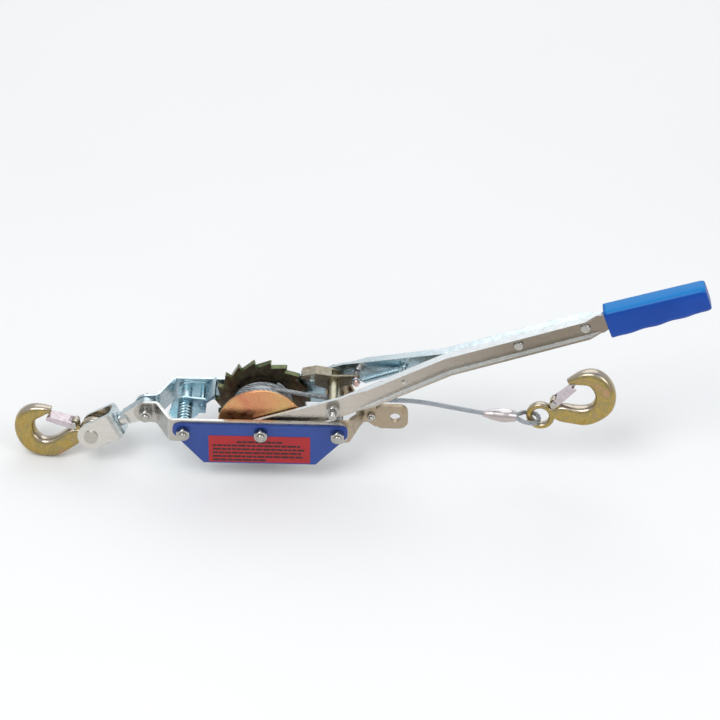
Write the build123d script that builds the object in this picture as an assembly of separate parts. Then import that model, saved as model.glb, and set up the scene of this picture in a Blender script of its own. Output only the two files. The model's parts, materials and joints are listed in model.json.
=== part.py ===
from build123d import *
import os
from math import atan2, cos, pi, radians, sin

# Wire rope puller. Millimetres.
# Shapes are drawn from the drum shaft's axis, midway between the side plates. The export moves them
# so that the finished part's origin is the centre of the tail anchor's hole.
# +X runs from the drum towards the rope hook, +Z is up, and the labelled cover faces -Y.

# Driving dimensions: frame
PLATE_T = 3.0
FRAME_IN = 31.0
FRAME_OUT = FRAME_IN + PLATE_T
PLATE_HALF_H = 13.5
PLATE_RIGHT_X = 87.0
LEFT_BOLT_X = -77.0
RIGHT_BOLT_X = 76.0
BEND_TOP_X = -90.0
BEND_FOOT_X = -105.0
NECK_IN = 4.3
NECK_BOLT_X = -116.0
NECK_R = 12.0
COVER_T = 1.5
COVER_OUT = FRAME_OUT + COVER_T
LABEL_T = 0.3

# Driving dimensions: fasteners
BOLT_R = 4.0
NUT_AF = 13.0
NUT_H = 6.5
HEAD_H = 5.3
BOLT_END = 2.0
TUBE_R = 5.5
SHAFT_R = 6.0
RUN = 0.05

# Driving dimensions: drum
ROPE_R = 2.4
HUB_R = 21.4
FLANGE_R = 43.5
FLANGE_OUT = 23.5
FLANGE_IN = 20.5
WHEEL_LOW = 15.5
WHEEL_HIGH = 21.5
TOOTH_TIP_R = 48.0
TOOTH_ROOT_R = 42.0
TEETH = 18
TOOTH_PHASE = 19.5
TOOTH_LAND = 1.5
HUB_END = 24.9
LAYER_1_R = HUB_R + ROPE_R
LAYER_2_R = LAYER_1_R + 4.2
WRAPS = 7
WRAP_PITCH = 5.0

# Driving dimensions: handle, measured along it from the shaft
HANDLE_TILT = 20.2
LEG_OUT = 28.0
LEG_IN = LEG_OUT - PLATE_T
LEG_R = 12.0
LEG_END = 88.0
MERGE_AT = 194.0
WEB_HALF_H = 11.0
FLANGE_W = 5.5
FLANGE_T = 2.5
FLANGE_END = 352.0
HANDLE_END = 447.0
RIVETS_AT = (268.0, 336.0)
TONGUE_HALF_H = 8.5
GRIP_START = 358.0
GRIP_END = 459.0
GRIP_WIDTH = 20.0
GRIP_HEIGHT = 28.5
GRIP_END_HEIGHT = 22.5
HANDLE_BOLT = (71.0, 27.0)
HANDLE_BOLT_TIP = 8.0
HANDLE_TUBE_R = 6.0
SPRING_PIN_AT = 150.0

# Driving dimensions: pawls
DRIVE_ARM = 33.2
DRIVE_REST = 172.0
DRIVE_FRONT = (11.5, 14.0)
DRIVE_REAR = (22.1, 24.6)
HOLD_ARM = 33.5
HOLD_REST = 24.3
HOLD_FRONT = (2.3, 4.7)
HOLD_REAR = (28.3, 30.7)
HOLD_PIN = (-60.5, 1.0)
HOLD_PIN_R = 2.8
RELEASE_ROD = (93.5, 33.5)
RELEASE_ROD_R = 3.2

# Driving dimensions: tail anchor, rope line, hooks
ANCHOR_T = 2.5
EAR_HOLE = (133.0, -4.0)
EAR_HOLE_R = 5.5
TIE_BOLT = (109.0, -2.0)
TIE_R = 2.5
ROPE_BEND = (71.0, 16.6)
ROPE_KNEE = (152.0, 17.0)
ROPE_SLOPE = -0.09
FERRULE_START = (221.0, 2.2)
FERRULE_LONG = 33.0
EYE_X = 278.4
EYE_Z = 2.0
ROPE_HOOK_RISE = 34.5
HOOK_LEAN = 14.0
EYE_MID_R = 11.4
EYE_HALF_W = 3.1
EYE_HALF_T = 4.6
EYE_BORE_R = 8.6
SWIVEL_DROP = 30.0
FRAME_HOOK_TURN = 30.5
CLEVIS_PIN_AT = 62.0
CLEVIS_PIN_R = 6.0
SHANK_R = 5.0

# Driving dimensions: hook, from its eye's centre with X along the shank
BOWL_X = 48.5
LATCH_PIVOT = (19.5, 6.5)
LATCH_ANGLE = 9.5
LATCH_HALF = 7.6
LATCH_T = 1.2
LATCH_PIN_R = 1.8


# Shared shapes
def slab(outline, low, high):
    """Extrude a side-view outline (x, z) from y = low to y = high."""
    return extrude(Plane.XZ.offset(-high) * outline, high - low)


def prism(outline, low, high):
    """Extrude a plan outline (x, y) from z = low to z = high."""
    return extrude(Pos(0, 0, low) * outline, high - low)


def rod(x, z, radius, low, high):
    """A round bar along Y."""
    return slab(Pos(x, z) * Circle(radius), low, high)


def tube(x, z, outer, inner, low, high):
    """A round tube along Y."""
    return rod(x, z, outer, low, high) - rod(x, z, inner, low - 1, high + 1)


def polygon(*points):
    """A closed straight-sided outline."""
    return make_face(Polyline(*points, close=True))


def mirrored(shape):
    """The same shape on the other side of the mid-plane."""
    return mirror(shape, about=Plane.XZ)


def hexagon(x, z, across_flats):
    """A hexagon with a corner at the top."""
    return Pos(x, z) * RegularPolygon(across_flats / 2, 6, major_radius=False, rotation=90)


def nut(x, z, face, outward, bore=BOLT_R, across_flats=NUT_AF, height=NUT_H):
    """A hexagon nut seated on the face at y = face; outward is its direction, +1 or -1."""
    low, high = sorted((face, face + outward * height))
    body = slab(hexagon(x, z, across_flats), low, high)
    cone_r = across_flats / 2 * 1.1
    body &= chamfer(rod(x, z, cone_r, low, high).edges().filter_by(GeomType.CIRCLE), 0.9)
    return body - rod(x, z, bore, low - 1, high + 1)


def bolt(x, z, radius, head_face, tip, across_flats=NUT_AF, head=HEAD_H):
    """A hexagon bolt from its head's seat at y = head_face to its tip, towards -Y."""
    shank = rod(x, z, radius, tip, head_face)
    end = shank.faces().sort_by(Axis.Y)[0]
    shank = chamfer(end.edges(), 0.8)
    cap = slab(hexagon(x, z, across_flats), head_face, head_face + head)
    return shank + cap


def coil(centre, direction, mean_r, wire_r, pitch, turns):
    """A helical spring that starts at centre and runs along direction."""
    path = Helix(pitch, pitch * turns, mean_r)
    section = Plane(origin=path @ 0, z_dir=path % 0) * Circle(wire_r)
    spring = sweep(section, path=path)
    return Plane(origin=centre, z_dir=direction).location * spring


def bent_plate(points, radius, thickness, low, high):
    """Strip bent along a plan path, standing between two heights."""
    path = FilletPolyline(*points, radius=radius)
    return prism(trace(path, line_width=thickness), low, high)


# Frame
def side_plate_rear():
    middle = FRAME_IN + PLATE_T / 2
    neck = NECK_IN + PLATE_T / 2
    path = (
        (PLATE_RIGHT_X, middle),
        (BEND_TOP_X, middle),
        (BEND_FOOT_X, neck),
        (NECK_BOLT_X - NECK_R, neck),
    )
    strip = bent_plate(path, 6, PLATE_T, -PLATE_HALF_H, PLATE_HALF_H)
    neck_join = BEND_TOP_X - 3
    outline = polygon(
        (NECK_BOLT_X, -NECK_R),
        (neck_join, -PLATE_HALF_H),
        (PLATE_RIGHT_X, -PLATE_HALF_H),
        (PLATE_RIGHT_X, PLATE_HALF_H),
        (neck_join, PLATE_HALF_H),
        (NECK_BOLT_X, NECK_R),
    )
    corners = outline.vertices().group_by(Axis.X)[-1]
    outline = fillet(corners, 11) + Pos(NECK_BOLT_X, 0) * Circle(NECK_R)
    plate = strip & slab(outline, 0, FRAME_OUT + 1)
    for x in (NECK_BOLT_X, LEFT_BOLT_X, 0, RIGHT_BOLT_X):
        plate -= rod(x, 0, BOLT_R, 0, FRAME_OUT + 1)
    return plate


def cover():
    """The painted cover, drawn on the rear side and mirrored to the front."""
    top = 10.0
    outline = polygon(
        (-87.5, top),
        (86.0, top),
        (86.0, -2.8),
        (54.5, -39.6),
        (-57.5, -39.6),
        (-87.5, -1.7),
    )
    left = outline.vertices().sort_by(Axis.X)[0:2]
    outline = fillet(left, 6.5)
    right = outline.vertices().sort_by(Axis.X)[-2:]
    outline = fillet(right, 5.5)
    bottom = outline.vertices().group_by(Axis.Y)[0]
    outline = fillet(bottom, 2)
    plate = slab(outline, FRAME_OUT, COVER_OUT)
    hem = slab(Pos(-0.8, top - 1.2) * RectangleRounded(158, 2.2, 1.0), COVER_OUT, COVER_OUT + 1.0)
    plate += hem
    for x in (LEFT_BOLT_X, 0, RIGHT_BOLT_X):
        plate -= rod(x, 0, BOLT_R, FRAME_OUT - 1, COVER_OUT + 2)
    return plate


def label():
    width, height = 101.0, 34.0
    sheet = Pos(-1.5, -21.0) * RectangleRounded(width, height, 1.0)
    sheet -= Circle(8.5)
    return slab(sheet, -COVER_OUT - LABEL_T, -COVER_OUT)


def cross_bolt(x):
    return bolt(x, 0, BOLT_R, FRAME_OUT, -COVER_OUT - NUT_H - BOLT_END)


def drum_shaft():
    body = rod(0, 0, SHAFT_R, -FRAME_IN, FRAME_IN)
    proud = NUT_H + BOLT_END
    ends = rod(0, 0, BOLT_R, -COVER_OUT - proud, FRAME_OUT + proud)
    return body + chamfer(ends.edges(), 0.8)


def frame_nuts():
    nuts = [nut(x, 0, -COVER_OUT, -1) for x in (LEFT_BOLT_X, 0, RIGHT_BOLT_X)]
    nuts.append(nut(0, 0, FRAME_OUT, 1))
    nuts.append(nut(NECK_BOLT_X, 0, -NECK_IN - PLATE_T - 1.6, -1))
    return nuts


def neck_bolt():
    seat = NECK_IN + PLATE_T + 1.6
    return bolt(NECK_BOLT_X, 0, BOLT_R, seat, -seat - NUT_H - BOLT_END)


def neck_washers():
    seat = NECK_IN + PLATE_T
    front = tube(NECK_BOLT_X, 0, 7.4, BOLT_R, -seat - 1.6, -seat)
    return [front, mirrored(front)]


def shaft_washers():
    front = tube(0, 0, 10.5, SHAFT_R, -FRAME_IN, -LEG_OUT - RUN)
    return [front, mirrored(front)]


def holding_spring():
    mean_r = TUBE_R + 1.15
    return coil((LEFT_BOLT_X, -29.8, 0), (0, 1, 0), mean_r, 1.0, 4.4, 7)


# Drum
def drum_hub():
    body = rod(0, 0, HUB_R, -FLANGE_IN, WHEEL_LOW)
    body += rod(0, 0, 10, -HUB_END, HUB_END)
    body -= rod(0, 0, SHAFT_R + RUN, -HUB_END - 1, HUB_END + 1)
    body -= Pos(0, -2.5, 12) * Cylinder(3, HUB_R, align=(Align.CENTER, Align.CENTER, Align.MIN))
    return body


def rope_clamp_screw():
    return Pos(0, -2.5, 12) * Cylinder(3, 8.8, align=(Align.CENTER, Align.CENTER, Align.MIN))


def drum_flange():
    disc = tube(0, 0, FLANGE_R, 10, -FLANGE_OUT, -FLANGE_IN)
    rims = disc.edges().filter_by(GeomType.CIRCLE).sort_by(SortBy.RADIUS)[-2:]
    return fillet(rims, 0.8)


def ratchet_wheel():
    points = []
    for tooth in range(TEETH):
        face = TOOTH_PHASE + tooth * 360 / TEETH
        steps = (
            (TOOTH_ROOT_R, face),
            (TOOTH_TIP_R, face),
            (TOOTH_TIP_R, face + TOOTH_LAND),
        )
        for radius, angle in steps:
            points.append((radius * cos(radians(angle)), radius * sin(radians(angle))))
    return slab(polygon(*points), WHEEL_LOW, WHEEL_HIGH) - rod(0, 0, 10, 0, 30)


def wrap_y(wrap):
    """The middle of one wrap of rope on the drum."""
    return -FLANGE_IN + 0.5 + ROPE_R + wrap * WRAP_PITCH


def rope_coil():
    body = tube(0, 0, LAYER_2_R, HUB_R, wrap_y(0) - ROPE_R, wrap_y(WRAPS - 1) + ROPE_R)
    for wrap in range(WRAPS):
        ring = Location((0, wrap_y(wrap), 0), (90, 0, 0)) * Torus(LAYER_2_R, ROPE_R)
        body += ring
    return body


# Tail anchor
def anchor_rear():
    """One of two plates that start inside the frame and close face to face at the ear."""
    high = FRAME_IN - ANCHOR_T / 2
    ear = ANCHOR_T / 2
    path = ((60, high), (87, high), (101, ear), (148, ear))
    strip = bent_plate(path, 5, ANCHOR_T, -19, 14)
    base = polygon((76, -13.5), (88, -13.5), (97, -10), (97, 6.5), (88, 13.5), (76, 13.5))
    neck = polygon((96, -10), (106, -10), (114, -16.5), (114, 8.5), (96, 6.5))
    ear_face = Pos(129, EAR_HOLE[1]) * RectangleRounded(34, 28, 9)
    outline = base + neck + ear_face + Pos(RIGHT_BOLT_X, 0) * Circle(PLATE_HALF_H)
    plate = strip & slab(outline, 0, FRAME_IN + 1)
    plate -= rod(RIGHT_BOLT_X, 0, TUBE_R, 0, FRAME_IN + 1)
    plate -= rod(*EAR_HOLE, EAR_HOLE_R, -1, FRAME_IN + 1)
    return plate - rod(*TIE_BOLT, TIE_R, -1, FRAME_IN + 1)


def tie_bolt():
    return bolt(*TIE_BOLT, TIE_R, ANCHOR_T, -ANCHOR_T - 6, across_flats=8, head=3.5)


def tie_nut():
    return nut(*TIE_BOLT, -ANCHOR_T, -1, bore=TIE_R, across_flats=8, height=4)


# Rope
def rope_span():
    """Off the top of the drum, under the handle's spacer tube, then sagging to the ferrule."""
    lift = atan2(ROPE_BEND[1], ROPE_BEND[0])
    reach = (ROPE_BEND[0] ** 2 + ROPE_BEND[1] ** 2) ** 0.5
    swing = lift + (pi / 2 - atan2(LAYER_2_R, (reach**2 - LAYER_2_R**2) ** 0.5))
    start = (LAYER_2_R * cos(swing), 2.0, LAYER_2_R * sin(swing))
    bend = (ROPE_BEND[0], 0, ROPE_BEND[1])
    knee = (ROPE_KNEE[0], 0, ROPE_KNEE[1])
    end = (FERRULE_START[0], 0, FERRULE_START[1])
    path = FilletPolyline(start, bend, knee, end, radius=120)
    span = sweep(Plane(origin=path @ 0, z_dir=path % 0) * Circle(ROPE_R), path=path)
    span -= rod(0, 0, LAYER_2_R + ROPE_R + 0.02, -30, 30)
    return span - ferrule()


def ferrule_plane():
    """Local X runs along the rope from the ferrule's first end."""
    return Plane(
        origin=(FERRULE_START[0], 0, FERRULE_START[1]),
        x_dir=(1, 0, ROPE_SLOPE),
        z_dir=(-ROPE_SLOPE, 0, 1),
    )


def ferrule():
    profile = Polyline(
        (0, 0), (0, 3.3), (2.5, 3.6), (9, 5.6), (20, 7.2), (25, 6.9), (FERRULE_LONG, 5.4), (FERRULE_LONG, 0)
    )
    body = revolve(make_face(profile + Line((FERRULE_LONG, 0), (0, 0))), Axis.X)
    body &= Box(3 * FERRULE_LONG, 15, 12.6)
    return ferrule_plane().location * body


def rope_loop():
    """Both strands leave the ferrule and close round the far side of the hook's eye."""
    strand_y = ROPE_R + 0.15
    rise = radians(ROPE_HOOK_RISE)
    ring_x = EYE_X - EYE_MID_R * cos(rise) - FERRULE_START[0]
    half = EYE_HALF_T + ROPE_R + 1.6
    nose_x = ring_x + EYE_HALF_W + ROPE_R + 3.0
    path = FilletPolyline(
        (FERRULE_LONG, -strand_y),
        (ring_x - 2, -half),
        (nose_x, -half),
        (nose_x, half),
        (ring_x - 2, half),
        (FERRULE_LONG, strand_y),
        radius=4.5,
    )
    section = Plane(origin=path @ 0, z_dir=path % 0) * Circle(ROPE_R)
    cut = Box(2 * FERRULE_LONG, 60, 60)
    return ferrule_plane().location * (sweep(section, path=path) - cut)


# Hooks, in a local frame: origin at the eye's centre, X along the shank, Z towards the tip
def hook_sections():
    """Middle, in-plane direction, half width and half thickness of each section, eye to tip."""
    neck = [
        ((10.3, -2.6), -83, 6.6, 4.2),
        ((17.0, -7.2), -90, 9.7, 5.6),
        ((26.0, -12.0), -94, 11.4, 6.5),
        ((36.5, -19.5), -96, 10.8, 7.2),
    ]
    rows = (
        (-90, 13.0, 32.6, 7.6),
        (-60, 13.0, 33.9, 8.0),
        (-30, 12.8, 33.6, 8.2),
        (0, 12.5, 32.9, 8.2),
        (30, 12.8, 31.2, 7.8),
        (58, 11.8, 26.6, 6.9),
        (85, 13.4, 22.8, 5.8),
    )
    bowl = []
    for angle, inner, outer, half_t in rows:
        middle = (inner + outer) / 2
        x = BOWL_X + middle * cos(radians(angle))
        z = middle * sin(radians(angle))
        bowl.append(((x, z), angle, (outer - inner) / 2, half_t))
    tip = [((BOWL_X - 4.3, 18.6), 95, 3.4, 4.2)]
    return neck + bowl + tip


def oval(half_w, half_h):
    """An oval whose outline always starts on its own +X side."""
    right, top, left, foot = (half_w, 0), (0, half_h), (-half_w, 0), (0, -half_h)
    over = Spline(right, top, left, tangents=[(0, 1), (0, -1)])
    under = Spline(left, foot, right, tangents=[(0, -1), (0, 1)])
    return make_face(over + under)


def hook():
    sections = []
    for (x, z), angle, half_w, half_t in hook_sections():
        across = Plane(
            origin=(x, 0, z),
            x_dir=(cos(radians(angle)), 0, sin(radians(angle))),
            z_dir=(-sin(radians(angle)), 0, cos(radians(angle))),
        )
        sections.append(across * oval(half_w, half_t))
    body = loft(sections)
    ring = Plane.XZ * (Pos(EYE_MID_R, 0) * oval(EYE_HALF_W, EYE_HALF_T))
    eye = Rot(90, 0, 0) * revolve(ring, Axis.Z)
    boss = Pos(*LATCH_PIVOT) * Circle(4.2)
    boss += Pos(LATCH_PIVOT[0] - 0.5, LATCH_PIVOT[1] - 7) * Rectangle(8, 13)
    lug = slab(boss, -4.5, 4.5)
    whole = body + eye + lug
    whole -= rod(0, 0, EYE_BORE_R, -12, 12)
    return whole - rod(*LATCH_PIVOT, LATCH_PIN_R, -10, 10)


def latch_pin():
    x, z = LATCH_PIVOT
    edge = LATCH_HALF + 0.1
    shank = rod(x, z, LATCH_PIN_R, -edge, edge)
    return shank + rod(x, z, 3.2, -edge - 1.4, -edge) + rod(x, z, 3.2, edge, edge + 1.4)


def latch_spring():
    start = (LATCH_PIVOT[0], 4.86, LATCH_PIVOT[1])
    return coil(start, (0, 1, 0), 2.4, 0.3, 0.6, 2)


def latch():
    here = Location((LATCH_PIVOT[0], 0, LATCH_PIVOT[1]), (0, -LATCH_ANGLE, 0))
    cheek = polygon((0, -3.6), (8, -3.4), (28.5, -1.6), (28.5, 1.8), (26.5, 3.0), (0, 3.0))
    cheek += Pos(0, -0.3) * Circle(3.3)
    channel = slab(cheek, -LATCH_HALF, LATCH_HALF)
    channel -= slab(Pos(12, -2.2) * Rectangle(60, 8.0), -LATCH_HALF + LATCH_T, LATCH_HALF - LATCH_T)
    channel -= slab(Pos(-2, 0) * Rectangle(16, 12), -LATCH_HALF + LATCH_T, LATCH_HALF - LATCH_T)
    channel -= rod(0, 0, LATCH_PIN_R + RUN, -10, 10)
    return here * channel


# Places of the two hooks
def leaned(origin, along_x, along_z):
    """A plane whose X runs along the shank and whose -Y leans up by HOOK_LEAN."""
    shank = Vector(along_x, 0, along_z).normalized()
    flat_up = Vector(-along_z, 0, along_x).normalized()
    if flat_up.Z < 0:
        flat_up = flat_up * -1
    lean = radians(HOOK_LEAN)
    up = flat_up * cos(lean) + Vector(0, 1, 0) * sin(lean)
    return Plane(origin=origin, x_dir=shank, z_dir=up)


def swivel_plane(lean):
    drop = radians(SWIVEL_DROP)
    shank = Vector(-cos(drop), 0, -sin(drop))
    up = Vector(-sin(drop), 0, cos(drop))
    up = up * cos(radians(lean)) + Vector(0, 1, 0) * sin(radians(lean))
    return Plane(origin=(NECK_BOLT_X, 0, 0), x_dir=shank, z_dir=up)


# Swivel
def swivel_link():
    bar = slab(Circle(11) + polygon((0, -11), (24, -7), (24, 7), (0, 11)), -4, 4)
    shank = Plane.YZ.offset(22) * Circle(7)
    body = bar + extrude(shank, 7.8)
    body += extrude(Plane.YZ.offset(29) * Circle(SHANK_R), 7)
    head = extrude(Plane.YZ.offset(35.2) * Circle(7.4), 3.6)
    head = fillet(head.faces().sort_by(Axis.X)[-1].edges(), 1.6)
    body = body + head - rod(0, 0, BOLT_R + RUN, -10, 10)
    return swivel_plane(0).location * body


def clevis():
    half, web, sheet = 12.5, 32.2, 4.0
    path = ((CLEVIS_PIN_AT + 15, -half), (web, -half), (web, half), (CLEVIS_PIN_AT + 15, half))
    strap = bent_plate(path, 6.5, sheet, -15, 15)
    outline = Pos(CLEVIS_PIN_AT, 0) * Circle(14)
    outline += polygon(
        (29, -11.5),
        (35, -14),
        (CLEVIS_PIN_AT, -14),
        (CLEVIS_PIN_AT, 14),
        (35, 14),
        (29, 11.5),
    )
    strap &= slab(outline, -20, 20)
    strap -= extrude(Plane.YZ.offset(25) * Circle(SHANK_R + RUN), 15)
    strap -= rod(CLEVIS_PIN_AT, 0, CLEVIS_PIN_R, -20, 20)
    return swivel_plane(HOOK_LEAN).location * strap


def clevis_pin():
    body = rod(CLEVIS_PIN_AT, 0, CLEVIS_PIN_R, -15.2, 15.2)
    heads = rod(CLEVIS_PIN_AT, 0, 7, -16.4, -14.5) + rod(CLEVIS_PIN_AT, 0, 7, 14.5, 16.4)
    return swivel_plane(HOOK_LEAN).location * (body + heads)


def frame_hook_plane():
    """The clevis pin's mid point, with the shank turned up from the clevis until it is level."""
    base = swivel_plane(HOOK_LEAN)
    turn = FRAME_HOOK_TURN
    origin = base.from_local_coords((CLEVIS_PIN_AT, 0, 0))
    along = base.x_dir * cos(radians(turn)) + base.z_dir * sin(radians(turn))
    up = base.z_dir * cos(radians(turn)) - base.x_dir * sin(radians(turn))
    return Plane(origin=origin, x_dir=along, z_dir=up)


def rope_hook_plane():
    rise = radians(ROPE_HOOK_RISE)
    return leaned((EYE_X, 0, EYE_Z), cos(rise), sin(rise))


# Handle, in a local frame: X along the handle from the shaft, turned up at the end
def handle_place():
    return Location((0, 0, 0), (0, -HANDLE_TILT, 0))


def handle_half_rear():
    leg = LEG_IN + PLATE_T / 2
    web = PLATE_T / 2
    path = ((-14, leg), (LEG_END, leg), (MERGE_AT, web), (HANDLE_END, web))
    body = bent_plate(path, 30, PLATE_T, -WEB_HALF_H, WEB_HALF_H)
    side = Circle(LEG_R) + polygon(
        (0, -LEG_R), (LEG_END, -WEB_HALF_H), (FLANGE_END, -WEB_HALF_H),
        (GRIP_START, -TONGUE_HALF_H), (HANDLE_END, -TONGUE_HALF_H),
        (HANDLE_END, TONGUE_HALF_H), (GRIP_START, TONGUE_HALF_H),
        (FLANGE_END, WEB_HALF_H), (LEG_END, WEB_HALF_H), (0, LEG_R),
    )
    body &= slab(side, -1, LEG_OUT + 10)
    inner = PLATE_T / 2
    outer = PLATE_T + FLANGE_W
    shift = polygon(
        (LEG_END + 2, leg - 1), (LEG_END + 26, leg + FLANGE_W - 5.6), (MERGE_AT + 2, outer),
        (FLANGE_END - 14, outer), (FLANGE_END, inner), (MERGE_AT, inner), (LEG_END + 8, leg - 2),
    )
    shift = fillet(shift.vertices().sort_by(Axis.X)[2:5], 8)
    for level in (-WEB_HALF_H, WEB_HALF_H - FLANGE_T):
        body += prism(shift, level, level + FLANGE_T)
    body -= rod(0, 0, SHAFT_R + RUN, 0, 40)
    for along in RIVETS_AT:
        body -= rod(along, 0, 3, -5, 40)
    body -= rod(SPRING_PIN_AT, 0, 2, -5, 40)
    body = handle_place() * body
    return body - rod(HANDLE_BOLT[0], HANDLE_BOLT[1], BOLT_R, 0, 40)


def handle_rivets():
    rivets = []
    for along in RIVETS_AT:
        shape = rod(along, 0, 3, -PLATE_T, PLATE_T)
        for low, high in ((-PLATE_T - 2.6, -PLATE_T), (PLATE_T, PLATE_T + 2.6)):
            head = rod(along, 0, 5.2, low, high)
            far = head.faces().sort_by(Axis.Y)[0 if low < 0 else -1]
            shape += fillet(far.edges(), 1.8)
        rivets.append(handle_place() * shape)
    return rivets


def grip():
    long = GRIP_END - GRIP_START
    waist_height = (GRIP_HEIGHT + GRIP_END_HEIGHT) / 2 + 0.6
    first = RectangleRounded(GRIP_HEIGHT, GRIP_WIDTH, 5.5)
    waist = Pos(0, 0, long * 0.55) * RectangleRounded(waist_height, GRIP_WIDTH + 1, 8)
    last = RectangleRounded(GRIP_END_HEIGHT, GRIP_WIDTH + 1, 9)
    body = loft([first, waist, Pos(0, 0, long - 6) * last])
    body += Pos(0, 0, long - 6) * extrude(last, 6)
    body = fillet(body.faces().sort_by(Axis.Z)[-1].edges(), 4.5)
    body -= extrude(RectangleRounded(GRIP_HEIGHT - 4.5, GRIP_WIDTH - 4.5, 3.5), 26)
    along = Plane(origin=(GRIP_START, 0, 0), x_dir=(0, 0, 1), z_dir=(1, 0, 0))
    body = along.location * body
    blade = Pos((GRIP_START + HANDLE_END) / 2, 0) * Rectangle(HANDLE_END - GRIP_START, 2 * TONGUE_HALF_H)
    tongue = slab(blade, -PLATE_T, PLATE_T)
    return handle_place() * (body - tongue)


def handle_bolt():
    return bolt(*HANDLE_BOLT, BOLT_R, LEG_OUT, -LEG_OUT - NUT_H - HANDLE_BOLT_TIP)


def handle_nut():
    return nut(*HANDLE_BOLT, -LEG_OUT, -1)


def handle_tube():
    return tube(*HANDLE_BOLT, HANDLE_TUBE_R, BOLT_R, -LEG_IN, LEG_IN)


def spring_pin():
    reach = 16.0
    return handle_place() * rod(SPRING_PIN_AT, 0, 2, -reach, reach)


def drive_spring():
    start = Vector(RELEASE_ROD[0] + 9, 8, RELEASE_ROD[1] + 1.4)
    pin = Vector(SPRING_PIN_AT * cos(radians(HANDLE_TILT)), 7, SPRING_PIN_AT * sin(radians(HANDLE_TILT)))
    run = pin - start
    length = run.length - 7
    pitch = 1.6
    return coil(start, run, 3.4, 0.7, pitch, length / pitch)


# Pawls
def arm_point(pivot, radius, angle):
    """A point at a distance and angle from a pivot, in side view."""
    return (pivot[0] + radius * cos(radians(angle)), pivot[1] + radius * sin(radians(angle)))


def drive_pawl():
    x, z = HANDLE_BOLT
    tip = arm_point(HANDLE_BOLT, DRIVE_ARM, DRIVE_REST)
    tail = polygon((x, z - 6), (x + 26, z + 1.5), (x + 26, z + 10.5), (x, z + 9.5))
    cheek_nose = polygon(
        (tip[0] + 3, tip[1] + 0.5), (tip[0] + 3, tip[1] + 4.6), (x - 18, z + 12.5),
        (x, z + 9.5), (x, z - 9.5), (x - 17, z - 3.5),
    )
    cheek = cheek_nose + Circle(9.5).moved(Location((x, z, 0))) + tail
    front = slab(cheek, *DRIVE_FRONT)
    rear = slab(cheek_nose + Circle(9.5).moved(Location((x, z, 0))), *DRIVE_REAR)
    roof = polygon(
        tip, (tip[0] + 1.6, tip[1] + 4.6), (x - 18, z + 12.5), (x - 2, z + 9.7),
        (x - 2, z + 7.2), (x - 18, z + 9.6), (tip[0] + 7, tip[1] + 1.6),
    )
    body = front + rear + slab(roof, DRIVE_FRONT[0], DRIVE_REAR[1])
    body -= rod(x, z, HANDLE_TUBE_R + RUN, 0, 30)
    return body - rod(*RELEASE_ROD, RELEASE_ROD_R, 0, 30)


def release_rod():
    body = rod(*RELEASE_ROD, RELEASE_ROD_R, 3.0, 21.0)
    return fillet(body.edges().filter_by(GeomType.CIRCLE), 0.8)


def drive_peg():
    low, high = 20.5, 34.0
    return Pos(49.5, DRIVE_FRONT[0] - 2.8, low) * Cylinder(
        2.8, high - low, align=(Align.CENTER, Align.CENTER, Align.MIN)
    )


def holding_pawl():
    pivot = (LEFT_BOLT_X, 0)
    tip = arm_point(pivot, HOLD_ARM, HOLD_REST)
    back = arm_point(pivot, 22, HOLD_REST - 10)
    lift = radians(HOLD_REST)
    up = (-3 * sin(lift), 3 * cos(lift))
    nose = polygon(tip, (tip[0] + up[0], tip[1] + up[1]), (back[0] + up[0], back[1] + up[1]), back)
    x = LEFT_BOLT_X
    cheek = Pos(x, -1.5) * Circle(14.5)
    cheek += polygon((x - 17, -9), (x - 15, -3), (x - 8, 8), (x + 6, 12), (x + 20, 10.5), back, (x + 20, -7))
    rear_cheek = polygon(
        (x - 8, -5), (x - 8, 5), (x - 3, 9), (x + 6, 11), (x + 20, 10.5), back, (x + 20, -7),
        (x + 4, -11), (x - 3, -9),
    )
    body = slab(cheek, *HOLD_FRONT) + slab(rear_cheek, *HOLD_REAR)
    body += slab(nose, HOLD_FRONT[0], HOLD_REAR[1])
    tab = slab(Pos(x - 11.5, -7.6) * Rectangle(10, 2.4), -6, HOLD_FRONT[0] + 0.5)
    body += tab
    body -= rod(x, 0, TUBE_R + RUN, 0, 40)
    return body - rod(*HOLD_PIN, HOLD_PIN_R, 0, 40)


def holding_pin():
    return rod(*HOLD_PIN, HOLD_PIN_R, HOLD_FRONT[0] - 1.2, HOLD_REAR[1])


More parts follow.
